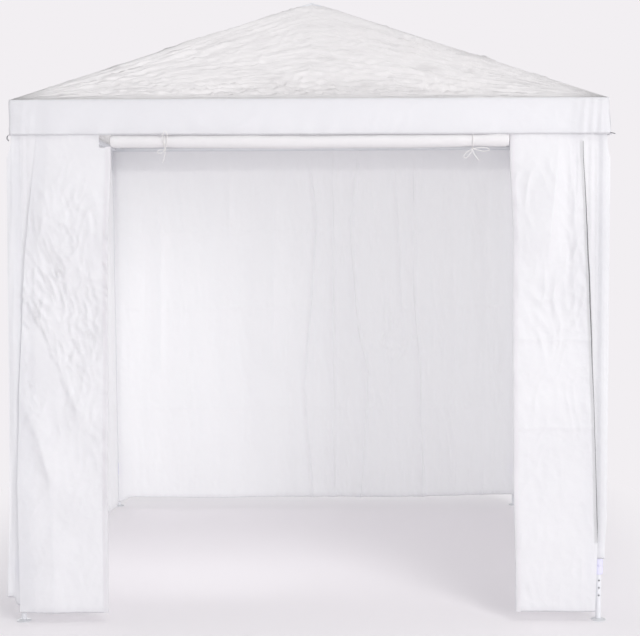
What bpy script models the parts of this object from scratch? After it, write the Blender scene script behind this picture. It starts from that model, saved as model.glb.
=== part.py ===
"""A garden party gazebo, 2.5 m square, with a pyramid roof and a rolled-up door.

The frame is round steel tube: four legs that telescope, four eave bars and four hip
rafters, joined by corner connectors and an apex hub. Roof, skirt and walls are cloth.
Metres, +Z up, the doorway faces -Y, and the origin is on the ground under the apex.
"""

import math

import bmesh
import bpy
from mathutils import Matrix, Vector

# Driving sizes of the whole gazebo
HALF = 1.25  # from the middle to the skirt's outer face
EAVE = 2.21  # the roof's lower edge above the ground
APEX = 2.852
SKIRT_DEPTH = 0.150
HEM = 0.047  # the front and side walls' lower edge above the ground
DOOR_HALF = 0.85
GAP = 0.0003  # between pieces that touch
CLOTH = 0.0025  # thickness of every cloth solid

# Frame tubes
TUBE_R = 0.014
TUBE_WALL = 0.0012
SIDES = 16  # facets round a tube, the same for each tube and its fitting
BORE_R = TUBE_R - TUBE_WALL
SPIGOT_R = BORE_R - GAP
COLLAR = 0.036  # bare length of a fitting's arm
SPIGOT = 0.040  # length of the plug inside a tube
ARM_STEP = 0.00005
BALL_TILT = math.radians(17)

# Telescoping lower legs
INNER_R = 0.012
INNER_BORE_R = 0.0108
INNER_TOP = 0.55
HOLE_R = 0.0036
HOLE_PITCH = 0.032
HOLES_BELOW = 4  # below the button
HOLES_ABOVE = 2  # hidden in the outer tube
BUTTON_Z = 0.236
BUTTON_R = 0.0045
BUTTON_OUT = 0.0205

# Plastic lock bracket, two lobes with a waist at the button
BRACKET_LOW = 0.198
BRACKET_HIGH = 0.272
BRACKET_STEP = 0.222  # where the outer tube's end rests
LOBE_R = 0.019
WAIST_R = 0.0165
LOBE_ROUND = 0.006

# Round foot
FOOT_R = 0.031
FOOT_EDGE = 0.003
FOOT_TOP = 0.008
FOOT_SPIGOT_TOP = 0.030
FOOT_SIDES = 32
PEG_HOLE_R = 0.0033
PEG_HOLE_OUT = 0.0235

# Cloth walls. The side and back walls hang inside the legs
BACK_HEM = 0.062
FOOT_CLEAR = 0.007  # from the side and back walls' hems to the feet
FLAP_LOW = 0.285  # a side wall's flap covers its front leg down to here
FRONT_TOP = 2.205
FRONT_FLARE = 0.022  # how far the front wall's hem hangs forward
PANEL_EDGE_TOP = 1.135
PANEL_HEM_LEFT = 1.246  # the left panel hangs wider at its hem
PANEL_HEM_RIGHT = 1.197
HEADER_LOW = 2.062

# Rolled-up door, its ties and the corner loops
ROLL_R = 0.030
ROLL_HALF = 0.849
ROLL_Y = -1.232
ROLL_SIDES = 32
TIE_X = {"left": -0.601, "right": 0.685}
STRING_R = 0.0015
TIE_GAP_FROM = math.radians(14)  # open part of a tie, round the header's lower edge
TIE_GAP_TO = math.radians(42)
KNOT_R = 0.0048
KNOT_ANGLE = math.radians(168)  # from straight up, over the front of the roll
TAIL_LENGTH = 0.050
TAIL_SPREAD = {"left": -0.012, "right": 0.026}
LOOP_R = 0.012
LOOP_STRING_R = 0.002
LOOP_Z = 2.052

# Sizes that follow from the ones above
SLOPE = math.atan((APEX - EAVE) / HALF)
CLOTH_DROP = CLOTH / math.cos(SLOPE)  # the cloth's thickness, measured straight down
SEAT_DROP = CLOTH_DROP + (GAP + TUBE_R) / math.cos(SLOPE)
FLARE_RATE = FRONT_FLARE / (FRONT_TOP - HEM)
SKIRT_LOW = EAVE - SKIRT_DEPTH
FRONT_INNER = HALF - CLOTH - GAP - CLOTH - FLARE_RATE * (FRONT_TOP - SKIRT_LOW)
FLAP_OUT = FRONT_INNER - GAP  # the flaps' outer face and edge
AXIS = FLAP_OUT - CLOTH - GAP - TUBE_R  # the legs' axis, from the middle, both ways
FRAME_Z = EAVE + (HALF - AXIS) * math.tan(SLOPE) - SEAT_DROP
SIDE_TOP = FRAME_Z - TUBE_R - GAP  # the side and back walls end just under the eave bars
HEM_OUT = AXIS - FOOT_R - FOOT_CLEAR
LEAN_RATE = (AXIS - TUBE_R - GAP - HEM_OUT) / (SIDE_TOP - HEM)
HUB_Z = APEX - SEAT_DROP

CORNERS = {
    "front_left": (-1, -1),
    "front_right": (1, -1),
    "back_right": (1, 1),
    "back_left": (-1, 1),
}


def clear_scene():
    for thing in list(bpy.data.objects):
        bpy.data.objects.remove(thing, do_unlink=True)


def material(name, colour, roughness, metallic=0.0):
    made = bpy.data.materials.new(name)
    made.use_nodes = True
    shader = made.node_tree.nodes["Principled BSDF"]
    shader.inputs["Base Color"].default_value = (*colour, 1.0)
    shader.inputs["Roughness"].default_value = roughness
    shader.inputs["Metallic"].default_value = metallic
    return made


def add(name, mesh, finish, matrix=None):
    """One named object for one piece."""
    thing = bpy.data.objects.new(name, mesh)
    bpy.context.collection.objects.link(thing)
    if matrix is not None:
        thing.matrix_world = matrix
    if not thing.data.materials:
        thing.data.materials.append(finish)
    return thing


def to_mesh(bm, name, smooth=False):
    bmesh.ops.recalc_face_normals(bm, faces=bm.faces)
    mesh = bpy.data.meshes.new(name)
    bm.to_mesh(mesh)
    bm.free()
    if smooth:
        mesh.shade_smooth()
        mesh.set_sharp_from_angle(angle=math.radians(35))
    return mesh


def lathe(name, profile, sides=SIDES):
    """A turned piece: a closed outline of (radius, height), spun about Z."""
    bm = bmesh.new()
    points = [bm.verts.new((radius, 0, height)) for radius, height in profile]
    pairs = zip(points, points[1:] + points[:1])
    edges = [bm.edges.new(pair) for pair in pairs if max(pair[0].co.x, pair[1].co.x) > 0]
    bmesh.ops.spin(
        bm, geom=points + edges, cent=(0, 0, 0), axis=(0, 0, 1), angle=math.tau, steps=sides
    )
    bmesh.ops.remove_doubles(bm, verts=bm.verts, dist=1e-6)
    return to_mesh(bm, name, smooth=True)


def tube_mesh(name, length, outer, inner):
    profile = [(outer, 0), (outer, length), (inner, length), (inner, 0)]
    return lathe(name, profile)


def prism(name, outline, inner_face, outward):
    """A cloth panel: an outline on the panel, from its inner face outward by CLOTH."""
    bm = bmesh.new()
    inner = [bm.verts.new(inner_face(*point)) for point in outline]
    outer = [bm.verts.new(inner_face(*point) + outward * CLOTH) for point in outline]
    bm.faces.new(inner)
    bm.faces.new(outer)
    count = len(outline)
    for i in range(count):
        j = (i + 1) % count
        bm.faces.new((inner[i], inner[j], outer[j], outer[i]))
    return to_mesh(bm, name)


def along(start, direction):
    """The matrix that takes +Z to a direction, from a start point."""
    turn = Vector((0, 0, 1)).rotation_difference(Vector(direction).normalized())
    return Matrix.Translation(start) @ turn.to_matrix().to_4x4()


def combine(base, others, operation):
    """Boolean of several closed meshes, each given as (mesh, matrix), as one new mesh."""
    made = [add("combine_base", base[0].copy(), None, base[1])]
    for mesh, matrix in others:
        operand = add("combine_operand", mesh, None, matrix)
        operand.hide_render = True
        operand.display_type = "WIRE"
        made.append(operand)
        cut = made[0].modifiers.new("combine", "BOOLEAN")
        cut.operation = operation
        cut.solver = "EXACT"
        cut.object = operand
    graph = bpy.context.evaluated_depsgraph_get()
    result = bpy.data.meshes.new_from_object(made[0].evaluated_get(graph), depsgraph=graph)
    result.transform(made[0].matrix_world)
    result.materials.clear()
    for thing in made:
        bpy.data.objects.remove(thing, do_unlink=True)
    return result


def arm_mesh(radius):
    """A fitting's arm: bare next to its ball, then a plug in the tube that slides over it."""
    end = COLLAR + SPIGOT
    return lathe("arm", [(0, 0), (radius, 0), (radius, end), (0, end)])


def ball_mesh(radius, rings=8):
    """A ball whose facets line up with the tubes'."""
    steps = [math.pi * i / rings for i in range(rings + 1)]
    profile = [(radius * math.sin(a), -radius * math.cos(a)) for a in steps]
    profile[0] = (0, -radius)
    profile[-1] = (0, radius)
    return lathe("ball", profile)


def fitting_mesh(name, directions):
    """A ball with an arm each way. No two arms have quite one radius, so they cross cleanly."""
    arms = []
    for number, direction in enumerate(directions):
        radius = SPIGOT_R - number * ARM_STEP
        arms.append((arm_mesh(radius), along((0, 0, 0), direction)))
    tilt = Matrix.Rotation(BALL_TILT, 4, (1, 2, 3))
    mesh = combine((ball_mesh(TUBE_R), tilt), arms, "UNION")
    mesh.name = name
    return mesh


def curve_tube(name, points, radius, finish, closed=False):
    """A round string or wire along points, with closed ends."""
    curve = bpy.data.curves.new(name, "CURVE")
    curve.dimensions = "3D"
    curve.bevel_depth = radius
    curve.bevel_resolution = 2
    curve.render_resolution_u = 0
    curve.use_fill_caps = True
    spline = curve.splines.new("POLY")
    spline.points.add(len(points) - 1)
    for target, point in zip(spline.points, points):
        target.co = (*point, 1)
    spline.use_cyclic_u = closed
    curve.materials.append(finish)
    thing = bpy.data.objects.new(name, curve)
    bpy.context.collection.objects.link(thing)
    return thing


def hip_direction(sx, sy):
    """Along a hip, from the apex down to a corner."""
    return Vector((sx * HALF, sy * HALF, EAVE - APEX)).normalized()


def frame_tubes(steel):
    cut = COLLAR + GAP
    leg_low = BRACKET_STEP + GAP
    leg = tube_mesh("leg", FRAME_Z - cut - leg_low, TUBE_R, BORE_R)
    bar = tube_mesh("eave_bar", 2 * (AXIS - cut), TUBE_R, BORE_R)
    hip = Vector((AXIS, AXIS, FRAME_Z - HUB_Z))
    rafter = tube_mesh("rafter", hip.length - 2 * cut, TUBE_R, BORE_R)
    for corner, (sx, sy) in CORNERS.items():
        add(f"leg_{corner}", leg, steel, Matrix.Translation((sx * AXIS, sy * AXIS, leg_low)))
        downhill = hip_direction(sx, sy)
        start = Vector((0, 0, HUB_Z)) + downhill * cut
        add(f"rafter_{corner}", rafter, steel, along(start, downhill))
    start = cut - AXIS
    for side, sy in (("front", -1), ("back", 1)):
        place = along((start, sy * AXIS, FRAME_Z), (1, 0, 0))
        add(f"eave_bar_{side}", bar, steel, place)
    for side, sx in (("left", -1), ("right", 1)):
        place = along((sx * AXIS, start, FRAME_Z), (0, 1, 0))
        add(f"eave_bar_{side}", bar, steel, place)


def fittings(steel):
    uphill = -hip_direction(-1, -1)
    mesh = fitting_mesh("corner_connector", [(0, 0, -1), (1, 0, 0), (0, 1, 0), uphill])
    for turn, corner in enumerate(CORNERS):
        around = Matrix.Rotation(turn * math.pi / 2, 4, "Z")
        place = around @ Matrix.Translation((-AXIS, -AXIS, FRAME_Z))
        add(f"connector_{corner}", mesh, steel, place)
    arms = [hip_direction(sx, sy) for sx, sy in CORNERS.values()]
    hub = fitting_mesh("apex_hub", arms)
    add("apex_hub", hub, steel, Matrix.Translation((0, 0, HUB_Z)))


def inner_leg_mesh():
    """The inner tube, with a row of button holes in its front."""
    low = FOOT_TOP + GAP
    body = tube_mesh("inner_leg", INNER_TOP - low, INNER_R, INNER_BORE_R)
    cutters = []
    for step in range(-HOLES_BELOW, HOLES_ABOVE + 1):
        drill = lathe("drill", [(0, 0), (HOLE_R, 0), (HOLE_R, TUBE_R), (0, TUBE_R)], 12)
        height = BUTTON_Z + step * HOLE_PITCH
        cutters.append((drill, along((0, 0, height), (0, -1, 0))))
    mesh = combine((body, Matrix.Translation((0, 0, low))), cutters, "DIFFERENCE")
    mesh.name = "inner_leg"
    return mesh


def foot_mesh():
    """A round foot with a plug for the inner tube and two peg holes."""
    plug_r = INNER_BORE_R - GAP
    profile = [
        (0, 0),
        (FOOT_R, 0),
        (FOOT_R, FOOT_EDGE),
        (INNER_R + GAP, FOOT_TOP),
        (plug_r, FOOT_TOP),
        (plug_r, FOOT_SPIGOT_TOP),
        (0, FOOT_SPIGOT_TOP),
    ]
    body = lathe("foot", profile, FOOT_SIDES)
    reach = 2 * FOOT_TOP
    cutters = []
    for side in (-1, 1):
        drill = lathe("drill", [(0, 0), (PEG_HOLE_R, 0), (PEG_HOLE_R, reach), (0, reach)], 12)
        cutters.append((drill, Matrix.Translation((side * PEG_HOLE_OUT, 0, -FOOT_EDGE))))
    mesh = combine((body, Matrix()), cutters, "DIFFERENCE")
    mesh.name = "foot_plate"
    return mesh


def bracket_mesh():
    """A two-lobed plastic sleeve with a push button at its waist."""
    outside = []
    for low, high in ((BRACKET_LOW, BUTTON_Z), (BUTTON_Z, BRACKET_HIGH)):
        outside.append((WAIST_R, low))
        outside.append((LOBE_R, low + LOBE_ROUND))
        outside.append((LOBE_R, high - LOBE_ROUND))
    outside.append((WAIST_R, BRACKET_HIGH))
    guide_r = INNER_R + GAP
    sleeve_r = TUBE_R + GAP
    bore = [
        (sleeve_r, BRACKET_HIGH),
        (sleeve_r, BRACKET_STEP),
        (guide_r, BRACKET_STEP),
        (guide_r, BRACKET_LOW),
    ]
    sleeve = lathe("bracket", outside + bore)
    base = TUBE_R + 2 * GAP
    button = lathe("button", [(0, base), (BUTTON_R, base), (BUTTON_R, BUTTON_OUT), (0, BUTTON_OUT)], 12)
    place = along((0, 0, BUTTON_Z), (0, -1, 0))
    mesh = combine((sleeve, Matrix()), [(button, place)], "UNION")
    mesh.name = "leg_bracket"
    return mesh


def lower_legs(steel, plastic):
    inner = inner_leg_mesh()
    foot = foot_mesh()
    bracket = bracket_mesh()
    for corner, (sx, sy) in CORNERS.items():
        facing = Matrix.Rotation(0 if sy < 0 else math.pi, 4, "Z")
        place = Matrix.Translation((sx * AXIS, sy * AXIS, 0)) @ facing
        add(f"inner_leg_{corner}", inner, steel, place)
        add(f"foot_plate_{corner}", foot, steel, place)
        add(f"leg_bracket_{corner}", bracket, plastic, place)


def roof_panels(cloth):
    """Four sloping triangles that meet at the hips, each cut upright at its edges."""
    apart = GAP / math.sqrt(2)
    for turn, side in enumerate(("front", "right", "back", "left")):
        plan = [(0, -apart), (apart - HALF, -HALF), (HALF - apart, -HALF)]
        bm = bmesh.new()
        rise = math.tan(SLOPE)
        top = [bm.verts.new((x, y, EAVE + (HALF + y) * rise)) for x, y in plan]
        under = [bm.verts.new(v.co - Vector((0, 0, CLOTH_DROP))) for v in top]
        bm.faces.new(top)
        bm.faces.new(under)
        for i in range(3):
            j = (i + 1) % 3
            bm.faces.new((top[i], top[j], under[j], under[i]))
        mesh = to_mesh(bm, f"roof_{side}")
        add(f"roof_{side}", mesh, cloth, Matrix.Rotation(turn * math.pi / 2, 4, "Z"))


def skirts(cloth):
    """The strips that hang from the roof's edge."""
    top = EAVE - CLOTH_DROP - GAP
    inner_y = HALF - CLOTH
    for turn, side in enumerate(("front", "right", "back", "left")):
        end = HALF if turn % 2 == 0 else inner_y - GAP
        outline = [(-end, SKIRT_LOW), (end, SKIRT_LOW), (end, top), (-end, top)]
        mesh = prism(f"skirt_{side}", outline, lambda x, z: Vector((x, -inner_y, z)), Vector((0, -1, 0)))
        add(f"skirt_{side}", mesh, cloth, Matrix.Rotation(turn * math.pi / 2, 4, "Z"))


def wall_out(z):
    """The side and back walls' outer face, from the middle. They lean in to their hems."""
    return HEM_OUT + LEAN_RATE * (z - HEM)


def back_wall(cloth):
    low_end = wall_out(BACK_HEM) - CLOTH - GAP
    top_end = wall_out(SIDE_TOP) - CLOTH - GAP
    outline = [(-low_end, BACK_HEM), (low_end, BACK_HEM), (top_end, SIDE_TOP), (-top_end, SIDE_TOP)]
    mesh = prism("back_wall", outline, lambda x, z: Vector((x, wall_out(z) - CLOTH, z)), Vector((0, 1, 0)))
    add("back_wall", mesh, cloth)


def side_walls(cloth):
    """Each side wall passes inside its legs, and turns outward over its front leg as a flap."""
    wall_outline = [
        (-FLAP_OUT, HEM),
        (wall_out(HEM), HEM),
        (wall_out(SIDE_TOP), SIDE_TOP),
        (-FLAP_OUT, SIDE_TOP),
    ]
    flap_outline = [
        (wall_out(FLAP_LOW) - CLOTH / 2, FLAP_LOW),
        (FLAP_OUT, FLAP_LOW),
        (FLAP_OUT, SIDE_TOP),
        (wall_out(SIDE_TOP) - CLOTH / 2, SIDE_TOP),
    ]
    for side, sx in (("left", -1), ("right", 1)):
        outward = Vector((sx, 0, 0))
        wall = prism("wall", wall_outline, lambda y, z: Vector((sx * (wall_out(z) - CLOTH), y, z)), outward)
        forward = Vector((0, -1, 0))
        flap = prism("flap", flap_outline, lambda x, z: Vector((sx * x, CLOTH - FLAP_OUT, z)), forward)
        mesh = combine((wall, Matrix()), [(flap, Matrix())], "UNION")
        add(f"side_wall_{side}", mesh, cloth)


def front_wall(cloth):
    """One cloth with the doorway cut out of it, hanging slightly forward to its hem."""
    outline = [
        (-PANEL_HEM_LEFT, HEM),
        (-DOOR_HALF, HEM),
        (-DOOR_HALF, HEADER_LOW),
        (DOOR_HALF, HEADER_LOW),
        (DOOR_HALF, HEM),
        (PANEL_HEM_RIGHT, HEM),
        (PANEL_EDGE_TOP, FRONT_TOP),
        (-PANEL_EDGE_TOP, FRONT_TOP),
    ]

    def inner_face(x, z):
        return Vector((x, -FRONT_INNER - FLARE_RATE * (FRONT_TOP - z), z))

    add("front_wall", prism("front_wall", outline, inner_face, Vector((0, -1, 0))), cloth)


def roll_height():
    """The roll's middle, so that it hangs GAP below the skirt's inner lower edge."""
    sideways = ROLL_Y + HALF - CLOTH
    return SKIRT_LOW - math.sqrt((ROLL_R + GAP) ** 2 - sideways**2)


def round_roll(x, angle, radius):
    """A point round the roll's middle, by its angle from straight up towards the front."""
    height = roll_height() + radius * math.cos(angle)
    return Vector((x, ROLL_Y - radius * math.sin(angle), height))


def door_roll(cloth):
    profile = [(0, 0), (ROLL_R, 0), (ROLL_R, 2 * ROLL_HALF), (0, 2 * ROLL_HALF)]
    mesh = lathe("door_roll", profile, ROLL_SIDES)
    add("door_roll", mesh, cloth, along((-ROLL_HALF, ROLL_Y, roll_height()), (1, 0, 0)))


def tail_points(knot, spread):
    """A tail that leaves the knot downward and bends away to one side."""
    steps = 12
    start = knot - Vector((0, 0, KNOT_R + GAP))
    drop = math.sqrt(TAIL_LENGTH**2 - spread**2)
    points = []
    for i in range(steps + 1):
        along_it = i / steps
        points.append(start + Vector((spread * along_it**1.5, 0, -drop * along_it)))
    return points


def door_ties(string):
    """A string round the roll, from one face of the header to the other, and its tail."""
    ring_r = ROLL_R + GAP + STRING_R
    steps = 28
    for side, x in TIE_X.items():
        turn = math.tau - (TIE_GAP_TO - TIE_GAP_FROM)
        angles = [TIE_GAP_TO + turn * i / steps for i in range(steps + 1)]
        ring = curve_tube("ring", [round_roll(x, a, ring_r) for a in angles], STRING_R, string)
        graph = bpy.context.evaluated_depsgraph_get()
        ring_mesh = bpy.data.meshes.new_from_object(ring.evaluated_get(graph), depsgraph=graph)
        bpy.data.objects.remove(ring, do_unlink=True)
        knot = round_roll(x, KNOT_ANGLE, ROLL_R + GAP + KNOT_R)
        ball = (ball_mesh(KNOT_R, 6), Matrix.Translation(knot))
        add(f"door_tie_{side}", combine((ring_mesh, Matrix()), [ball], "UNION"), string)
        points = tail_points(knot, TAIL_SPREAD[side])
        curve_tube(f"door_tie_tail_{side}", points, STRING_R, string)


def guy_loops(string):
    """A small loop at each corner of the skirt's lower edge."""
    steps = 18
    reach = LOOP_R + LOOP_STRING_R + GAP
    out = math.sqrt((reach**2 - (SKIRT_LOW - LOOP_Z) ** 2) / 2)
    for corner, (sx, sy) in CORNERS.items():
        middle = Vector((sx * (HALF + out), sy * (HALF + out), LOOP_Z))
        outward = Vector((sx, sy, 0)).normalized()
        points = []
        for i in range(steps):
            angle = math.tau * i / steps
            points.append(middle + LOOP_R * (math.cos(angle) * outward + Vector((0, 0, math.sin(angle)))))
        curve_tube(f"guy_loop_{corner}", points, LOOP_STRING_R, string, closed=True)


def build():
    clear_scene()
    cloth = material("cloth", (0.90, 0.89, 0.89), 0.55)
    steel = material("steel", (0.80, 0.81, 0.83), 0.35, 0.4)
    plastic = material("plastic", (0.80, 0.80, 0.90), 0.45)
    string = material("string", (0.82, 0.81, 0.80), 0.7)
    loop = material("loop", (0.35, 0.35, 0.36), 0.6)
    frame_tubes(steel)
    fittings(steel)
    lower_legs(steel, plastic)
    roof_panels(cloth)
    skirts(cloth)
    back_wall(cloth)
    side_walls(cloth)
    front_wall(cloth)
    door_roll(cloth)
    door_ties(string)
    guy_loops(loop)


build()
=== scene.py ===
import math

import bpy
import numpy as np
from mathutils import Euler, Matrix, Vector


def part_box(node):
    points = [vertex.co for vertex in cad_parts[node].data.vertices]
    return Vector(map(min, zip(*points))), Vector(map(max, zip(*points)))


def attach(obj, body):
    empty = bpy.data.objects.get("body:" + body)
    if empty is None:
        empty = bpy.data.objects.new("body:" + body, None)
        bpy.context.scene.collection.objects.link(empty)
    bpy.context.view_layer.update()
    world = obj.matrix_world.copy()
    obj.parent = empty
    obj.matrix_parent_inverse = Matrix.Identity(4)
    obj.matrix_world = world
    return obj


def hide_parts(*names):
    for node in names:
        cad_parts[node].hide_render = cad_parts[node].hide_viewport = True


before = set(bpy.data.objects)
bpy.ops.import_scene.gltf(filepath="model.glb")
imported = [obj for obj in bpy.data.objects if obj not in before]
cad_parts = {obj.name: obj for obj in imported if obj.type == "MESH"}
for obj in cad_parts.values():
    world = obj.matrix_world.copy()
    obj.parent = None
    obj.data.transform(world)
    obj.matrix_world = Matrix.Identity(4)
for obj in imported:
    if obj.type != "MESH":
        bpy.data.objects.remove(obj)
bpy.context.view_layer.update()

# Camera and picture, from the fit to the photograph
CAMERA_PLACE = Vector((0.0788, -6.545, 1.5696))
CAMERA_PITCH = math.radians(-2.978)
CAMERA_YAW = math.radians(0.372)
CAMERA_ROLL = math.radians(0.217)
CAMERA_LENS = 70.985  # mm, on a sensor 36 mm wide
BACKDROP = (0.888, 0.863, 0.888)

# Sizes read from the frame
CLOTH = 0.0025  # thickness of the frame's cloth solids
GAP = 0.0003
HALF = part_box("skirt_front")[1].x
SKIRT_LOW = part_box("skirt_front")[0].z
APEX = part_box("roof_front")[1].z
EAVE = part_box("roof_front")[0].z + CLOTH
SLOPE = math.atan((APEX - EAVE) / HALF)
AXIS = sum(corner.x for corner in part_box("leg_front_right")) / 2
TUBE_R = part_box("leg_front_right")[1].x - AXIS
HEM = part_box("front_wall")[0].z
BACK_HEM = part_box("back_wall")[0].z
SIDE_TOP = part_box("back_wall")[1].z
FRONT_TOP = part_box("front_wall")[1].z
FRONT_FACE = -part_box("front_wall")[1].y + CLOTH / 2  # the front wall's middle at its top
FRONT_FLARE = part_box("front_wall")[1].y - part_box("front_wall")[0].y - CLOTH
FLAP_FACE = -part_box("side_wall_right")[0].y - CLOTH / 2
FLAP_DEPTH = FLAP_FACE + 0.0009 - AXIS  # of the corner flaps' flat parts, in front of the legs' axes
WALL_TOP_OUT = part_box("back_wall")[1].y
WALL_HEM_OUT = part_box("back_wall")[0].y + CLOTH
FLAP_LOW = 0.268
FOOT_RISE = 0.15  # a raised foot plate reaches this high behind the left flap
ROLL_LOW, ROLL_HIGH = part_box("door_roll")
ROLL_Y = (ROLL_LOW.y + ROLL_HIGH.y) / 2
ROLL_Z = (ROLL_LOW.z + ROLL_HIGH.z) / 2
ROLL_R = (ROLL_HIGH.z - ROLL_LOW.z) / 2

CORNERS = {
    "front_left": (-1, -1),
    "front_right": (1, -1),
    "back_right": (1, 1),
    "back_left": (-1, 1),
}
SIDES = ("front", "right", "back", "left")


# Shapes of cloth, as sums of waves

def waves(points, size, seed, count=7):
    """Smooth bumps of about one size, mostly between -1 and 1."""
    rng = np.random.default_rng(seed)
    total = np.zeros(points.shape[:-1])
    for _ in range(count):
        way = rng.normal(size=points.shape[-1])
        way /= np.linalg.norm(way)
        length = size * rng.uniform(0.7, 1.6)
        total += np.sin(math.tau * (points @ way) / length + rng.uniform(0, math.tau))
    return total / math.sqrt(2 * count)


def ridged(phase):
    """A sharp crest at each whole number, a round valley between, from -1 to 1."""
    return 1 - 2 * np.abs(np.sin(math.pi * phase)) ** 0.8


def crumple(points, size, seed, count=5):
    """Little sharp folds in all directions, which come and go."""
    rng = np.random.default_rng(seed)
    total = np.zeros(points.shape[:-1])
    for number in range(count):
        way = rng.normal(size=points.shape[-1])
        way /= np.linalg.norm(way)
        bend = 0.6 * waves(points, 2.5 * size, seed + 11 + number, 4)
        there = np.clip(0.35 + waves(points, 4 * size, seed + 31 + number, 4), 0, 1)
        total += there * ridged((points @ way) / (size * rng.uniform(0.8, 1.5)) + bend)
    return total / math.sqrt(count)


def ramp(x, low, high):
    """0 below low, 1 above high, smooth between."""
    part = np.clip((x - low) / (high - low), 0, 1)
    return part * part * (3 - 2 * part)


def turned(points, degrees):
    """The same points in axes that are turned anticlockwise."""
    c, s = math.cos(math.radians(degrees)), math.sin(math.radians(degrees))
    return points @ np.array([[c, -s], [s, c]])


def fold(x, z, line, width, depth, width_right=None):
    """A fold along a line of (height, x) points: a soft ridge on a narrow crest, gone past its ends."""
    heights, places = zip(*sorted(line))
    across = x - np.interp(z, heights, places)
    away = np.abs(across) / np.where(across < 0, width, width_right or width)
    kept = ramp(z, heights[0] - 0.12, heights[0] + 0.06)
    kept = kept * (1 - ramp(z, heights[-1] - 0.06, heights[-1] + 0.12))
    return kept * depth * (0.55 * np.exp(-away) + 0.45 * np.exp(-(away**2) / 4))


# Making pieces

def mesh_piece(name, points, faces, finish, body="root"):
    mesh = bpy.data.meshes.new(name)
    mesh.from_pydata(points.reshape(-1, 3).tolist(), [], faces.tolist())
    mesh.shade_smooth()
    mesh.materials.append(finish)
    piece = bpy.data.objects.new(name, mesh)
    bpy.context.collection.objects.link(piece)
    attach(piece, body)
    return piece


def grid_faces(rows, columns):
    """Quads of a grid of points that is stored row by row."""
    first = np.arange(rows * columns).reshape(rows, columns)[:-1, :-1].ravel()
    return np.stack([first, first + 1, first + columns + 1, first + columns], axis=1)


def hem_rows(height, spacing, hem=0.022):
    """Distances up a cloth from its lower edge. Those below 0 are folded up inside."""
    folded = np.array([-hem, -hem / 2, -0.002])
    return np.concatenate([folded, np.linspace(0, height, round(height / spacing) + 1)])


def curve_piece(name, lines, radius, finish, closed=False):
    """String or wire along one or more lines of points."""
    curve = bpy.data.curves.new(name, "CURVE")
    curve.dimensions = "3D"
    curve.bevel_depth = radius
    curve.bevel_resolution = 3
    curve.use_fill_caps = True
    for line in lines:
        spline = curve.splines.new("POLY")
        spline.points.add(len(line) - 1)
        for target, point in zip(spline.points, line):
            target.co = (*point, 1)
        spline.use_cyclic_u = closed
        spline.use_smooth = True
    curve.materials.append(finish)
    piece = bpy.data.objects.new(name, curve)
    bpy.context.collection.objects.link(piece)
    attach(piece, "root")
    return piece


def smooth_line(points, steps=8):
    """A smooth curve through a few points."""
    ends = [points[0] * 2 - points[1], *points, points[-1] * 2 - points[-2]]
    line = []
    for a, b, c, d in zip(ends, ends[1:], ends[2:], ends[3:]):
        for i in range(steps):
            t = i / steps
            bend = (2 * a - 5 * b + 4 * c - d) * t**2 + (3 * b - a - 3 * c + d) * t**3
            line.append(0.5 * (2 * b + (c - a) * t + bend))
    return [*line, points[-1]]


# Materials

MIX_DARK, MIX_LIGHT, MIX_RESULT = 6, 7, 2  # the colour sockets of a Mix node
FAN = "fan"  # the canopy's coordinates for creases: round and away from the nearest corner
PAINTED_EAVE_SHADE = "band"  # 1 in the bunched band above the eave, where painted shade darkens the canopy's colour


class Finish:
    """A material being wired up, with its Principled shader."""

    def __init__(self, name, roughness, metallic=0.0, specular=0.5):
        self.material = bpy.data.materials.new(name)
        self.material.use_nodes = True
        self.nodes = self.material.node_tree.nodes
        self.links = self.material.node_tree.links
        self.shader = self.nodes["Principled BSDF"]
        self.shader.inputs["Roughness"].default_value = roughness
        self.shader.inputs["Metallic"].default_value = metallic
        self.shader.inputs["Specular IOR Level"].default_value = specular
        self.place = self.node("ShaderNodeTexCoord").outputs["Object"]

    def node(self, kind, **inputs):
        made = self.nodes.new(kind)
        for name, value in inputs.items():
            socket = made.inputs[name.replace("_", " ")]
            if isinstance(value, bpy.types.NodeSocket):
                self.links.new(value, socket)
            else:
                socket.default_value = value
        return made

    def noise(self, scale, detail=3.0, stretch=(1, 1, 1)):
        place = self.node("ShaderNodeMapping", Vector=self.place, Scale=stretch).outputs["Vector"]
        return self.node("ShaderNodeTexNoise", Vector=place, Scale=scale, Detail=detail).outputs["Fac"]

    def colours(self, factor, dark, light):
        mix = self.node("ShaderNodeMix")
        mix.data_type = "RGBA"
        self.links.new(factor, mix.inputs["Factor"])
        mix.inputs[MIX_DARK].default_value = (*dark, 1)
        mix.inputs[MIX_LIGHT].default_value = (*light, 1)
        return mix.outputs[MIX_RESULT]

    def mixed(self, factor, below, over):
        mix = self.node("ShaderNodeMix")
        mix.data_type = "RGBA"
        self.links.new(factor, mix.inputs["Factor"])
        self.links.new(below, mix.inputs[MIX_DARK])
        mix.inputs[MIX_LIGHT].default_value = (*over, 1)
        return mix.outputs[MIX_RESULT]

    def bump(self, height, strength, distance, below=None):
        made = self.node("ShaderNodeBump", Height=height, Strength=strength, Distance=distance)
        if below is not None:
            self.links.new(below, made.inputs["Normal"])
        return made.outputs["Normal"]

    def wire(self, colour, normal, roughness=None):
        self.links.new(colour, self.shader.inputs["Base Color"])
        self.links.new(normal, self.shader.inputs["Normal"])
        if roughness is not None:
            self.links.new(roughness, self.shader.inputs["Roughness"])

    def range(self, value, low, high):
        return self.node("ShaderNodeMapRange", Value=value, To_Min=low, To_Max=high).outputs["Result"]


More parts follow.
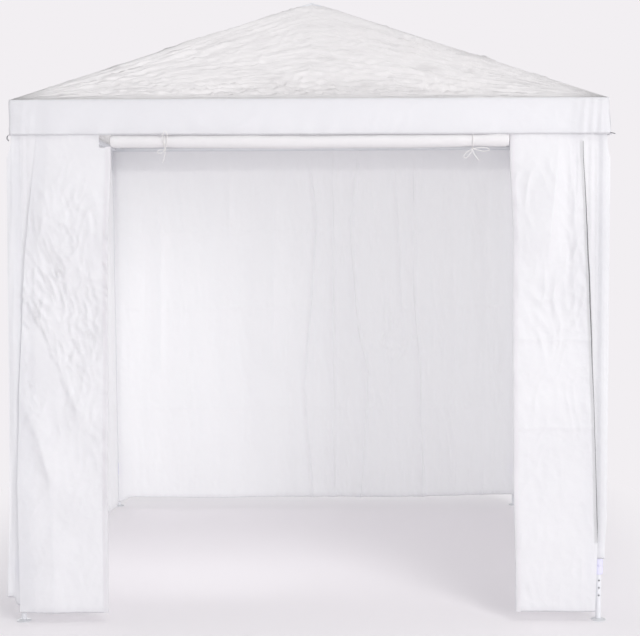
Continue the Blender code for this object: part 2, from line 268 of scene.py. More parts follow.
def cloth_finish(name, dark, light, crinkle, through, roughness=0.5, streaks=0.0):
    """Coated woven sheet: fine tapes, a crinkled coating and some light from behind.

    Streaks are the depth of fine creases that fan out of the corners, in metres. Where they are given,
    painted shade darkens the colour in those creases and in the band above the eave.
    """
    made = Finish(name, roughness, specular=0.35)
    mottle = made.noise(2.3, 4)
    colour = made.colours(mottle, dark, light)
    weave = made.node("ShaderNodeTexWave", Vector=made.place, Scale=70.0)
    weave.bands_direction = "X"
    across = made.node("ShaderNodeTexWave", Vector=made.place, Scale=70.0)
    across.bands_direction = "Z"
    tapes = made.node("ShaderNodeMath")
    tapes.operation = "MULTIPLY"
    made.links.new(weave.outputs["Fac"], tapes.inputs[0])
    made.links.new(across.outputs["Fac"], tapes.inputs[1])
    fine = made.bump(tapes.outputs["Value"], 0.12, 0.0004)
    cells = made.node("ShaderNodeTexVoronoi", Vector=made.place, Scale=26.0)
    crushed = made.bump(cells.outputs["Distance"], crinkle, 0.006, fine)
    soft = made.bump(made.noise(22, 3), crinkle, 0.006, crushed)
    if streaks:
        band = made.node("ShaderNodeAttribute")
        band.attribute_name = PAINTED_EAVE_SHADE
        # Painted shade: the colour darkened in the band above the eave
        colour = made.mixed(band.outputs["Fac"], colour, tuple(0.88 * part for part in dark))
        fan = made.node("ShaderNodeAttribute")
        fan.attribute_name = FAN
        lines = made.node("ShaderNodeTexNoise", Vector=fan.outputs["Vector"], Scale=34.0, Detail=2.0)
        grooves = made.node("ShaderNodeMapRange", Value=lines.outputs["Fac"], From_Min=0.50, From_Max=0.34)
        patches = made.node("ShaderNodeMapRange", Value=made.noise(3.2, 1), From_Min=0.38, From_Max=0.62)
        painted_crease_shade = made.node("ShaderNodeMath")
        painted_crease_shade.operation = "MULTIPLY"
        made.links.new(grooves.outputs["Result"], painted_crease_shade.inputs[0])
        made.links.new(patches.outputs["Result"], painted_crease_shade.inputs[1])
        # Painted shade: the colour darkened along the fan creases, in patches
        colour = made.mixed(painted_crease_shade.outputs["Value"], colour, tuple(0.86 * part for part in dark))
        soft = made.bump(lines.outputs["Fac"], 0.9, streaks, soft)
    made.wire(colour, soft, made.range(made.noise(9, 3), roughness - 0.08, roughness + 0.1))
    back = made.node("ShaderNodeBsdfTranslucent", Color=(*light, 1), Normal=soft)
    mix = made.node("ShaderNodeMixShader", Fac=through)
    made.links.new(made.shader.outputs["BSDF"], mix.inputs[1])
    made.links.new(back.outputs["BSDF"], mix.inputs[2])
    made.links.new(mix.outputs["Shader"], made.nodes["Material Output"].inputs["Surface"])
    return made.material


def hard_finish(name, dark, light, roughness, metallic, grain, depth):
    """Powder coat or moulded plastic: an even colour with a fine orange-peel surface."""
    made = Finish(name, roughness, metallic)
    colour = made.colours(made.noise(30, 4), dark, light)
    peel = made.bump(made.noise(grain, 2), 0.3, depth)
    made.wire(colour, peel, made.range(made.noise(60, 4), roughness - 0.06, roughness + 0.08))
    return made.material


def string_finish(name, dark, light):
    """Twisted string: slanting strands."""
    made = Finish(name, 0.75, specular=0.2)
    twist = made.node("ShaderNodeMapping", Vector=made.place, Rotation=(0.5, 0.4, 0.6)).outputs["Vector"]
    strands = made.node("ShaderNodeTexWave", Vector=twist, Scale=260.0, Distortion=1.5).outputs["Fac"]
    made.wire(made.colours(strands, dark, light), made.bump(strands, 0.6, 0.0006))
    return made.material


ROOF_CLOTH = cloth_finish("roof_cloth", (0.92, 0.90, 0.895), (0.96, 0.945, 0.94), 0.25, 0.34, streaks=0.018)
SKIRT_CLOTH = cloth_finish("skirt_cloth", (0.88, 0.88, 0.90), (0.93, 0.93, 0.95), 0.16, 0.34)
WALL_CLOTH = cloth_finish("wall_cloth", (0.80, 0.80, 0.825), (0.95, 0.95, 0.965), 0.30, 0.36)
BACK_CLOTH = cloth_finish("back_cloth", (0.93, 0.93, 0.945), (0.98, 0.98, 0.99), 0.26, 0.40)
# Lighter than the wall cloth the door is made of: painted light against the skirt's shadow on the roll
ROLL_CLOTH = cloth_finish("roll_cloth", (0.95, 0.94, 0.95), (0.98, 0.97, 0.98), 0.16, 0.30)
BINDING = cloth_finish("binding_tape", (0.90, 0.89, 0.91), (0.93, 0.92, 0.94), 0.05, 0.35)
# Painted shadow: a near-black cloth for the shadow gap at the right panel's outer edge
PAINTED_SHADOW_GAP = cloth_finish("painted_shadow_gap", (0.16, 0.16, 0.17), (0.26, 0.26, 0.27), 0.08, 0.05, 0.7)
STEEL = hard_finish("powder_coated_steel", (0.78, 0.79, 0.82), (0.85, 0.86, 0.89), 0.38, 0.15, 900, 0.0003)
FOOT_STEEL = hard_finish("foot_steel", (0.68, 0.69, 0.71), (0.78, 0.79, 0.81), 0.42, 0.35, 700, 0.0003)
PLASTIC = hard_finish("bracket_plastic", (0.72, 0.71, 0.88), (0.80, 0.79, 0.95), 0.42, 0.0, 1200, 0.0002)
TIE_STRING = string_finish("tie_string", (0.90, 0.88, 0.87), (0.97, 0.96, 0.95))
LOOP_STRING = string_finish("loop_string", (0.22, 0.22, 0.24), (0.42, 0.42, 0.44))


# Roof and skirt, one sheet

ROOF_RINGS = 140
SKIRT_ROWS = 14
SAG = 0.022  # of the roof between its rafters, under its own weight
SEAM = 0.006  # half the width of the sewn seam up the middle of each slope

# Creases that fan out of each corner: degrees apart, height, and where they start and fade
FANS = (
    (11.0, 0.0034, 0.08, 0.50),
    (5.6, 0.0050, 0.34, 1.10),
    (3.4, 0.0042, 0.55, 1.45),
)


def corner_view(plan):
    """Angle round the nearest corner, in degrees, and distances from it, its hip and the seam."""
    inward = HALF - np.abs(plan)
    reach = np.hypot(inward[..., 0], inward[..., 1])
    turn = np.degrees(np.arctan2(inward[..., 1], inward[..., 0] + 1e-6))
    from_hip = np.abs(inward[..., 0] - inward[..., 1]) / math.sqrt(2)
    return turn, reach, from_hip, np.abs(plan).min(axis=-1)


def corner_creases(plan):
    """Creases that fan out of the corners, and others that run beside the hips."""
    turn, reach, from_hip, aside = corner_view(plan)
    rise = np.zeros(plan.shape[:-1])
    for number, (step, height, start, fade) in enumerate(FANS):
        drift = 0.5 * waves(plan, 0.8, 40 + number)
        kept = np.clip(0.50 + 0.9 * waves(plan, 0.40, 50 + number), 0.0, 1.3)
        there = ramp(reach, start / 2, start) * np.exp(-((reach / fade) ** 3))
        rise = rise + height * there * kept * ridged(turn / step + drift)
    strip = np.exp(-((from_hip / 0.22) ** 2)) * ramp(reach, 0.25, 0.5) * (1 - ramp(reach, 1.30, 1.70))
    kept = np.clip(0.65 + 0.8 * waves(plan, 0.5, 65), 0.0, 1.3)
    rise = rise + 0.0042 * strip * kept * ridged(from_hip / 0.046 + 0.35 * waves(plan, 0.6, 60))
    return rise * ramp(aside, 0.0, 0.05)


def eave_band(plan):
    """1 in the bunched band above the eave, which is widest near the middle of a slope. It shapes the
    crumples there and masks the painted shade.
    """
    on_end = np.abs(plan[..., 0]) > np.abs(plan[..., 1])
    run = np.where(on_end, plan[..., 1], plan[..., 0])
    places = (-1.2, -0.87, -0.45, -0.1, 0.38, 0.55, 0.76, 1.2)
    width = np.interp(run, places, (0.012, 0.07, 0.12, 0.24, 0.24, 0.10, 0.03, 0.01))
    width = width * (1 + 0.2 * waves(plan, 0.25, 77))
    return 1 - ramp(HALF - np.abs(plan).max(axis=-1), 0.7 * width, 1.15 * width)


def roof_rise(plan):
    """How far the cloth stands above or sags below the flat slopes, over points in plan."""
    out = np.abs(plan).max(axis=-1)
    aside = np.abs(plan).min(axis=-1)
    up = 1 - out / HALF
    from_hip = (out - aside) / math.sqrt(2)
    from_bar = AXIS - out
    past_bar = np.clip(from_bar, 0, None) / 0.20
    rise = -SAG * past_bar * np.exp(1 - past_bar) * ramp(from_hip, 0.02, 0.6)
    rise = rise + corner_creases(plan) * (1.5 + 0.5 * ramp(plan[..., 0], 0, 0.5))
    low_band = np.exp(-(((up - 0.10) / 0.10) ** 2)) * ramp(from_hip, 0.05, 0.5)
    across = out / math.cos(SLOPE)
    rise = rise + 0.0046 * low_band * ridged(across / 0.045 + 1.2 * waves(plan, 0.40, 71))
    rise = rise + 0.0060 * low_band * crumple(plan, 0.045, 72)
    middle = np.exp(-((aside / 0.45) ** 2)) * (1 - ramp(up, 0.3, 0.8))
    rise = rise + 0.0085 * middle * crumple(plan * [0.5, 1], 0.050, 73)
    rise = rise + 0.0050 * crumple(plan, 0.075, 74)
    rise = rise + 0.0030 * ramp(from_hip, 0.02, 0.2) * waves(plan, 0.4, 75)
    rise = rise + 0.0050 * eave_band(plan) * crumple(plan, 0.032, 76)
    rise = rise + 0.0014 * np.exp(-((aside / SEAM) ** 2))
    held_up = -0.0021 - 0.06 * ramp(np.minimum(from_hip, from_bar), TUBE_R, 0.09)
    return np.maximum(rise, held_up)


def roof_points(plan):
    """Points of the roof over points in plan."""
    out = np.abs(plan).max(axis=-1)
    height = EAVE + (HALF - out) * math.tan(SLOPE) + roof_rise(plan) * ramp(HALF - out, -0.001, 0.012)
    blunt = 0.010 * np.exp(-((out / 0.05) ** 2))
    return np.concatenate([plan, (height - blunt)[..., None]], axis=-1)


def skirt_rows(plan):
    """Rows of points down the skirt from the eave, and up again inside its hem."""
    depth = EAVE - SKIRT_LOW
    down = np.concatenate([np.linspace(0, depth, SKIRT_ROWS), [depth - 0.001, depth - 0.012, depth - 0.022]])
    side_x = np.abs(plan[:, 0]) >= np.abs(plan[:, 1]) - 1e-9
    side_y = np.abs(plan[:, 1]) >= np.abs(plan[:, 0]) - 1e-9
    normal = np.stack([np.sign(plan[:, 0]) * side_x, np.sign(plan[:, 1]) * side_y], axis=-1)
    normal /= np.linalg.norm(normal, axis=-1, keepdims=True)
    run = np.where(side_x, plan[:, 1], plan[:, 0])
    bunched = ramp(np.abs(run), HALF - 0.16, HALF - 0.06)
    gathered = np.where((plan[:, 1] < 0) & (plan[:, 0] > 0), 1.0, 0.30)
    seam = np.exp(-((run / SEAM) ** 2))
    rows = []
    for number, drop in enumerate(down):
        share = drop / depth
        around = np.stack([plan[:, 0], plan[:, 1], np.full(len(plan), drop)], axis=-1)
        proud = 0.0012 + 0.0032 * share * (1 + waves(around, 0.8, 81))
        proud = proud + 0.0060 * share * (0.6 + crumple(around, 0.13, 82)) + 0.0008 * seam
        swing = 0.5 + 0.5 * share
        proud = proud + 0.0060 * swing * bunched * gathered * (1 + ridged(run / 0.036 + 0.35 * share))
        if number >= SKIRT_ROWS:
            proud = proud - 0.0022
        low = 0.0015 * waves(around[:, :2], 0.7, 83) - 0.003 * plan[:, 0] / HALF * (plan[:, 1] < 0)
        point = np.empty((len(plan), 3))
        point[:, :2] = plan + normal * (proud * ramp(share, -0.02, 0.06))[:, None]
        point[:, 2] = EAVE - drop + low * share
        rows.append(point)
    return rows


def canopy():
    """Rings of points from the apex to the eave on a lattice of triangles, then the skirt."""
    turns = [np.array(v) for v in ((-1, -1), (0, -1), (1, -1), (1, 0), (1, 1), (0, 1), (-1, 1), (-1, 0))]
    halves = len(turns)
    plans = [np.zeros((1, 2))]
    for ring in range(1, ROOF_RINGS + 1):
        out = HALF * ring / ROOF_RINGS
        share = np.arange(ring)[:, None] / ring
        sectors = zip(turns, turns[1:] + turns[:1])
        plans.append(np.concatenate([out * (a + share * (b - a)) for a, b in sectors]))
    first = np.cumsum([0] + [len(p) for p in plans])
    faces = [(0, 1 + i, 1 + (i + 1) % halves) for i in range(halves)]
    for ring in range(1, ROOF_RINGS):
        inner, outer = first[ring], first[ring + 1]
        for half in range(halves):
            i = np.arange(ring)
            a = inner + half * ring + i
            b = inner + (half * ring + i + 1) % (halves * ring)
            c = outer + half * (ring + 1) + i
            d = c + 1
            faces += np.stack([a, c, d], axis=1).tolist()
            faces += np.stack([a, d, b], axis=1).tolist()
            corner = (half * (ring + 1) + ring + 1) % (halves * (ring + 1))
            faces.append((int(b[-1]), int(d[-1]), int(outer + corner)))
    roof_faces = len(faces)
    plan = np.concatenate(plans)
    roof = roof_points(plan)
    edge = plans[-1]
    rows = skirt_rows(edge)
    around = len(edge)
    above = np.arange(around) + first[ROOF_RINGS]
    for number in range(1, len(rows)):
        below = len(roof) + (number - 1) * around + np.arange(around)
        faces += np.stack([above, below, np.roll(below, -1), np.roll(above, -1)], axis=1).tolist()
        above = below
    points = np.concatenate([roof, *rows[1:]])
    piece = mesh_piece("canopy", points, np.array(faces, dtype=object), ROOF_CLOTH)
    piece.data.materials.append(SKIRT_CLOTH)
    piece.data.polygons.foreach_set("material_index", [0] * roof_faces + [1] * (len(faces) - roof_faces))
    turn, reach, _, _ = corner_view(points[:, :2])
    fan = np.stack([np.radians(turn) * 0.75, reach * 0.10, 0.08 * points[:, 0]], axis=-1)
    piece.data.attributes.new(FAN, "FLOAT_VECTOR", "POINT").data.foreach_set("vector", fan.ravel())
    # Painted shade above the eave: how much darker the canopy's colour is there
    bunched = np.zeros(len(points))
    bunched[: len(plan)] = eave_band(plan) * (0.85 + 0.3 * waves(plan, 0.10, 79))
    piece.data.attributes.new(PAINTED_EAVE_SHADE, "FLOAT", "POINT").data.foreach_set("value", bunched)
    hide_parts(*(f"roof_{side}" for side in SIDES), *(f"skirt_{side}" for side in SIDES))
    return piece


# Walls

SHEET_STEP = 0.0115


def wall_out(z):
    """Middle of the side and back walls' thickness, from the middle of the floor."""
    share = (z - HEM) / (SIDE_TOP - HEM)
    return WALL_HEM_OUT + (WALL_TOP_OUT - WALL_HEM_OUT) * share - CLOTH / 2


BACK_FOLDS = (
    ([(1.70, -0.52), (2.1, -0.53)], 0.014, 0.006, 0.014),
    ([(0.9, -0.26), (2.1, -0.24)], 0.060, 0.012, 0.030),
    ([(2.13, -0.027), (1.77, 0.012), (1.34, -0.015), (0.75, -0.065), (0.0, -0.010)], 0.008, 0.014, 0.020),
    ([(0.0, 0.112), (2.2, 0.112)], 0.016, 0.012, 0.007),
    ([(2.13, 0.259), (1.70, 0.215), (1.09, 0.262), (0.84, 0.323), (0.0, 0.273)], 0.022, 0.015, 0.007),
    ([(1.2, 0.53), (2.1, 0.49)], 0.008, 0.011, 0.016),
    ([(2.1, 0.60), (1.25, 0.605), (0.95, 0.636), (0.0, 0.665)], 0.014, 0.013, 0.007),
    ([(0.9, -0.95), (1.7, -0.94)], 0.030, 0.006, 0.010),
    ([(0.0, 0.86), (2.1, 0.84)], 0.050, 0.010, 0.030),
    ([(0.0, 1.03), (2.1, 1.05)], 0.020, 0.007, 0.020),
)
PACKING_CREASES = (1.70, 1.23, 0.62)  # heights across the back wall


def wall_spread(side, z):
    """How far a side wall hangs out past the line inside its legs, away from the front."""
    if side == "right":
        return np.interp(z, (0.05, 2.1), (0.064, 0.010))
    return np.interp(z, (0.05, 2.1), (0.034, 0.028))


def back_wall():
    rows = hem_rows(SIDE_TOP - BACK_HEM, SHEET_STEP)
    columns = round(2 * HALF / 0.0065)
    u = np.linspace(0, 1, columns + 1)[None, :]
    q = rows[:, None]
    z = BACK_HEM + np.abs(q) + 0 * u
    from_left = wall_out(z) + wall_spread("left", z) - CLOTH
    from_right = wall_out(z) + wall_spread("right", z) - CLOTH
    x = u * (from_left + from_right) - from_left
    flat = np.stack([x, z], axis=-1)
    held = ramp(SIDE_TOP - z, 0.0, 0.25)
    edge = ramp(0.5 - np.abs(u - 0.5), 0.0, 0.04) + 0 * z
    inward = 1.8 * sum(fold(x, z, *shape) for shape in BACK_FOLDS)
    inward = inward + 0.0035 * waves(flat * [1, 0.10], 0.15, 91) + 0.011 * waves(flat * [1, 0.3], 0.5, 92)
    creased = 0.35 + 0.65 * ramp(x, -0.25, 0.05)
    inward = inward + 0.0046 * creased * crumple(flat * [1, 0.16], 0.050, 93)
    patch = np.exp(-(((x - 0.50) / 0.16) ** 2) - (((z - 1.02) / 0.16) ** 2))
    inward = inward + 0.0090 * patch * crumple(flat * [1, 0.5], 0.040, 96)
    for crease in PACKING_CREASES:
        inward = inward + 0.0040 * np.exp(-np.abs(z - crease - 0.01 * waves(flat, 0.9, 94)) / 0.009)
    inward = (inward + 0.010) * (0.25 + 0.75 * held) * edge
    inward = inward + 0.0028 * ramp(-q, 0, 0.002)
    sag = 0.005 * waves(flat[..., :1], 0.9, 95) - 0.034 * ramp(-x, 1.13, 1.22) + 0.010 * ramp(x, 0.2, 1.1)
    z = z + sag * (1 - ramp(z, BACK_HEM, BACK_HEM + 0.5))
    points = np.stack([x, wall_out(z) - inward, z], axis=-1)
    piece = mesh_piece("back_wall_cloth", points, grid_faces(*z.shape), BACK_CLOTH)
    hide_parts("back_wall")


def side_wall(side, sx):
    """From the back corner forward, and inside the front leg to the corner flap."""
    rows = hem_rows(SIDE_TOP - HEM, SHEET_STEP)
    columns = round(2 * HALF / 0.0095)
    q = rows[:, None]
    height = SIDE_TOP - HEM
    v = np.abs(q) / height
    s = np.linspace(0, 1, columns + 1)[None, :]
    level = HEM + v * height
    back = wall_out(level) - 0.002
    front = FLAP_FACE - 0.0012
    y = back - s * (back + front)
    between_legs = ramp(y, 0.10 - HALF, 0.65 - HALF)
    x_wall = wall_out(level) + wall_spread(side, level) * between_legs
    droop = 0.017 * ramp(y, 0.8, 1.18) * (1 - v) ** 6
    z = level - droop
    flat = np.stack([y, z], axis=-1)
    seed = 100 if side == "left" else 110
    bulge = 0.007 * waves(flat * [1, 0.12], 0.17, seed) + 0.009 * waves(flat * [1, 0.25], 0.6, seed + 1)
    bulge = bulge + 0.0060 * crumple(flat * [1, 0.20], 0.06, seed + 2)
    bulge = bulge + fold(y, z, [(0.1, -0.55), (2.1, -0.45)], 0.02, 0.011)
    bulge = bulge + fold(y, z, [(0.1, 0.35), (1.2, 0.30), (2.1, 0.42)], 0.015, 0.013)
    for crease in PACKING_CREASES:
        bulge = bulge + 0.0040 * np.exp(-np.abs(z - crease - 0.01 * waves(flat, 0.9, seed + 3)) / 0.010)
    held = ramp(SIDE_TOP - z, 0.0, 0.3) * ramp(s, 0, 0.06) * ramp(1 - s, 0.01, 0.08)
    bulge = (bulge + 0.010) * held + 0.0028 * ramp(-q, 0, 0.002)
    points = np.stack([sx * (x_wall - bulge), y, z], axis=-1)
    faces = grid_faces(points.shape[0], points.shape[1])
    piece = mesh_piece(f"side_wall_cloth_{side}", points, faces, BACK_CLOTH)
    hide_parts(f"side_wall_{side}")


def corner_flap(side, sx):
    """The strip sewn to a side wall's front edge: from behind the front panel out over the leg."""
    rows = hem_rows(SIDE_TOP - HEM, SHEET_STEP * 0.8)
    q = rows[:, None]
    v = np.abs(q) / (SIDE_TOP - HEM)
    f = np.linspace(0, 1, 41)[None, :]
    low = flap_low_edge(side, f)
    z = low + v * (SIDE_TOP - low)
    near = np.minimum(outer_edge(side, z), AXIS - TUBE_R) - 0.055
    x = near + f * (flap_end(side, z) - near)
    free = ramp(SIDE_TOP - z, 0.02, 0.20)
    stations = (1.16, 1.178, 1.195, 1.212, 1.228, 1.240, 1.252, 1.268, 1.30)
    depths = (0, -0.002, -0.0035, -0.004, 0.0010, 0.0014, -0.0010, -0.0075, -0.016)
    drape = np.interp(x, stations, depths)
    seed = 104 if side == "left" else 114
    flat = np.stack([x, z], axis=-1)
    pleats = 0.0018 * waves(flat * [1, 0.06], 0.026, seed) * ramp(x, 1.10, 1.15)
    away = np.clip(np.abs(x - AXIS) - TUBE_R, 0, None)
    pleats = pleats * ramp(away, 0.0, 0.012) + 0.0006
    if side == "right":
        over_foot = 0.0060 * (1 - ramp(z, 0.275, 0.33)) * ramp(x, 1.195, 1.205)
    else:
        toe = 1 - ramp(z, FOOT_RISE, FOOT_RISE + 0.30)
        drape = drape * (1 - toe)
        over_foot = 0.022 * toe * np.exp(-(((x - AXIS) / 0.034) ** 2))
    forward = FLAP_DEPTH + (drape + pleats) * free + over_foot - 0.0022 * ramp(-q, 0, 0.002)
    points = np.stack([sx * x, -AXIS - forward, z], axis=-1)
    piece = mesh_piece(f"corner_flap_{side}", points, grid_faces(*z.shape), WALL_CLOTH)
    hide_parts(f"side_wall_{side}")


def flap_low_edge(side, f):
    """Height of the flap's lower edge, by the share of its width."""
    if side == "right":
        return HEM + (FLAP_LOW - HEM) * ramp(f, 0.25, 0.50)
    over_leg = HEM + 0.030 * ramp(f, 0.15, 0.40)
    return over_leg + 0.030 * ramp(f, 0.62, 0.80)


def flap_end(side, z):
    """The flap's free edge, from the middle."""
    if side == "right":
        heights = (0.28, 0.45, 0.95, 1.95, 2.02, 2.2)
        return np.interp(z, heights, (1.246, 1.257, 1.258, 1.261, 1.2465, 1.2440))
    return np.interp(z, (0.05, 0.5, 1.1, 1.96, 2.03, 2.2), (1.292, 1.280, 1.274, 1.267, 1.2465, 1.2440))


# Front wall

NOTCH_STEP = 0.012
NOTCH_COLUMNS = 4
NOTCH_LOW = 2.013
HEADER_LOW = 2.062
PANEL_ROWS_STEP = 0.0075


def front_y(z):
    return -FRONT_FACE - FRONT_FLARE * (FRONT_TOP - z) / (FRONT_TOP - HEM)


def door_edge(side, z):
    if side == "left":
        return np.interp(z, (0.05, 0.52, 0.95, 1.37, 1.93), (0.856, 0.856, 0.850, 0.847, 0.829))
    return np.interp(z, (0.05, 0.27, 0.61, 1.24, 1.66, 1.93), (0.871, 0.868, 0.858, 0.853, 0.852, 0.840))


def outer_edge(side, z):
    if side == "left":
        return np.interp(z, (0.075, 0.6, 1.08, 1.52, 2.06), (1.232, 1.236, 1.221, 1.194, 1.138))
    return np.interp(z, (0.05, 0.30, 0.60, 0.944, 1.28, 1.965), (1.203, 1.211, 1.204, 1.192, 1.176, 1.143))


def panel_proud(side, x, z):
    """How far a front panel bulges forward. The left one is the more crinkled."""
    flat = np.stack([x, z], axis=-1)
    low = ramp(HEADER_LOW - z, 0.0, 0.35 if side == "left" else 0.22)
    if side == "left":
        billow = 0.024 * np.exp(-(((z - 1.66) / 0.26) ** 2)) - 0.016 * np.exp(-(((z - 1.13) / 0.30) ** 2))
        bulge = billow + 0.010 * waves(flat * [1, 0.5], 0.45, 121) + 0.005 * waves(flat, 0.2, 122)
        steep = turned(flat, 22) * [1, 0.42]
        crinkled = np.exp(-(((z - 1.33) / 0.36) ** 2)) * (0.45 + 0.55 * ramp(-x, 0.90, 1.12))
        bulge = bulge + 0.0135 * crinkled * crumple(steep, 0.028, 123)
        bulge = bulge + (0.0016 + 0.0040 * ramp(z, 0.4, 1.0)) * crumple(flat * [1, 0.6], 0.05, 124)
        line = [(1.40, -1.20), (1.20, -1.10), (1.02, -1.03), (0.9, -0.98)]
        bulge = bulge + fold(x, z, line, 0.016, 0.022, 0.05)
        bulge = bulge + fold(x, z, [(0.98, -1.23), (0.80, -1.15), (0.62, -1.10)], 0.016, 0.026, 0.05)
        bulge = bulge + fold(x, z, [(0.62, -1.10), (0.45, -1.09), (-0.1, -1.08)], 0.018, 0.010, 0.05)
        bulge = bulge * (0.35 + 0.65 * ramp(outer_edge(side, z) + x, 0.0, 0.07))
    else:
        bulge = 0.006 * waves(flat * [1, 0.4], 0.5, 131) + 0.003 * waves(flat, 0.2, 132)
        bulge = bulge + (0.0016 + 0.0030 * ramp(z, 0.7, 1.3)) * crumple(flat * [1, 0.5], 0.055, 133)
        creases = np.exp(-np.abs(z - 1.20) / 0.010) + np.exp(-np.abs(z - 0.83) / 0.010)
        bulge = bulge + 0.0050 * creases
        bulge = bulge + fold(x, z, [(2.10, 1.050), (1.90, 1.030), (1.60, 1.000)], 0.11, 0.034, 0.016)
        bulge = bulge + fold(x, z, [(2.10, 1.075), (1.75, 1.105), (1.40, 1.125)], 0.010, 0.012, 0.030)
        gathers = 0.0022 * ramp(z, 1.55, 1.95) * ramp(x, 1.06, 1.10)
        bulge = bulge + gathers * ridged(x / 0.017 + 0.4 * waves(flat, 0.5, 134))
    behind = FRONT_FACE - AXIS - FLAP_DEPTH + FRONT_FLARE * (FRONT_TOP - z) / (FRONT_TOP - HEM) - 0.003
    back_stop = 0.030 - ramp(np.abs(x), 0.99, 1.07) * (0.030 - np.clip(behind, 0, None))
    return np.maximum(low * (bulge + 0.006), -back_stop)


def panel_points(side, z, q):
    """A panel's grid from the door's edge outward."""
    sx = -1 if side == "left" else 1
    near = door_edge(side, z)
    far = outer_edge(side, z)
    fixed = np.arange(NOTCH_COLUMNS + 1) * NOTCH_STEP
    share = np.linspace(0, 1, 49)[1:]
    first = near + fixed[None, :]
    rest = first[:, -1:] + share[None, :] * (far - first[:, -1:])
    x = sx * np.concatenate([first, rest], axis=1)
    zz = z + 0 * x
    y = front_y(zz) - panel_proud(side, x, zz) + 0.0028 * ramp(-q, 0, 0.002)
    return np.stack([x, y, zz], axis=-1)


def front_wall():
    """Two panels and the strip over the doorway, one sheet."""
    rows = hem_rows(HEADER_LOW - HEM, PANEL_ROWS_STEP)
    top_rows = np.linspace(HEADER_LOW, FRONT_TOP, 12)[1:] - HEM
    q = np.concatenate([rows, top_rows])[:, None]
    z = HEM + np.abs(q)
    left = panel_points("left", z, q)[:, ::-1]
    right = panel_points("right", z, q)
    middle_columns = 150
    start, end = left[:, -1:, 0], right[:, :1, 0]
    share = np.linspace(0, 1, middle_columns + 1)[None, 1:-1]
    x = start + share * (end - start)
    zz = z + 0 * x
    middle = np.stack([x, front_y(zz) + 0 * x, zz], axis=-1)
    points = np.concatenate([left, middle, right], axis=1)
    rows_count, columns = points.shape[:2]
    faces = grid_faces(rows_count, columns)
    row, column = faces[:, 0] // columns, faces[:, 0] % columns
    header = row >= len(rows) - 1
    in_door = (column >= left.shape[1] - 1) & (column < left.shape[1] - 1 + middle_columns)
    low = z[:, 0][row]
    in_notch = (column >= left.shape[1] - 1 - NOTCH_COLUMNS) & (column < left.shape[1] - 1)
    in_notch &= (low >= NOTCH_LOW - PANEL_ROWS_STEP / 2) & ~header & (row >= 3)
    kept = faces[(header | ~in_door) & ~in_notch]
    used, renumbered = np.unique(kept, return_inverse=True)
    shown = points.reshape(-1, 3)[used]
    piece = mesh_piece("front_wall_cloth", shown, renumbered.reshape(kept.shape), WALL_CLOTH)
    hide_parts("front_wall")
    for side in ("left", "right"):
        door_binding(side)
    painted_edge_shadow()


def door_binding(side):
    """The tape sewn over a panel's edge at the doorway, round to its back."""
    sx = -1 if side == "left" else 1
    top = NOTCH_LOW if side == "left" else HEADER_LOW
    z = np.linspace(HEM - 0.001, top, 260)[:, None]
    width = 0.022
    across = np.array([-width, -width * 0.6, -0.0015, 0.0, 0.0015, width * 0.6, width])[None, :]
    over = np.abs(across)
    front = np.where(across >= 0, 1.0, -1.0) * np.where(across == 0, 0.0, 1.0)
    x = sx * (door_edge(side, z) - 0.0012 + over)
    zz = z + 0 * x
    pucker = 0.0006 * np.sin(math.tau * zz / 0.017) * ramp(over, 0.004, width)
    y = front_y(zz) - panel_proud(side, x, zz) - front * (0.0012 + pucker)
    points = np.stack([x, y, zz], axis=-1)
    piece = mesh_piece(f"door_binding_{side}", points, grid_faces(*zz.shape), BINDING)


def painted_edge_shadow():
    """A near-black sheet behind the right panel's outer edge, which shows more and more towards its foot:
    painted shadow of the gap between the panel and the corner flap.
    """
    z = np.linspace(0.34, 2.03, 220)[:, None]
    heights = (0.34, 0.42, 0.60, 0.94, 1.26, 1.42, 1.66, 2.03)
    shown = np.interp(z, heights, (0.0010, 0.0042, 0.0030, 0.0026, 0.0056, 0.0062, 0.0048, 0.0022))
    edge = outer_edge("right", z)
    x = edge + np.concatenate([-0.012 + 0 * shown, -0.004 + 0 * shown, shown / 2, shown], axis=1)
    zz = z + 0 * x
    y = front_y(zz) - panel_proud("right", np.minimum(x, edge), zz) + 0.0018
    points = np.stack([x, y, zz], axis=-1)
    piece = mesh_piece("painted_edge_shadow_right", points, grid_faces(*zz.shape), PAINTED_SHADOW_GAP)


# Rolled-up door, its ties, the corner loops

TIE_X = {"left": -0.601, "right": 0.685}
STRING_R = 0.0015
KNOT_R = 0.0048
KNOT_ANGLE = math.radians(168)
TAIL_LENGTH = 0.050
TAIL_SPREAD = {"left": -0.012, "right": 0.026}
DOOR_HEIGHT = 2.0  # length of cloth in the roll
ROLL_ENDS = (-0.822, 0.829)
ROLL_CORE = 0.004
ROLL_LIFT = 0.002


def pinched(x):
    """1 away from the ties, less where they draw the roll in."""
    near = sum(np.exp(-(((x - tie) / 0.035) ** 2)) for tie in TIE_X.values())
    return 1 - 0.10 * near


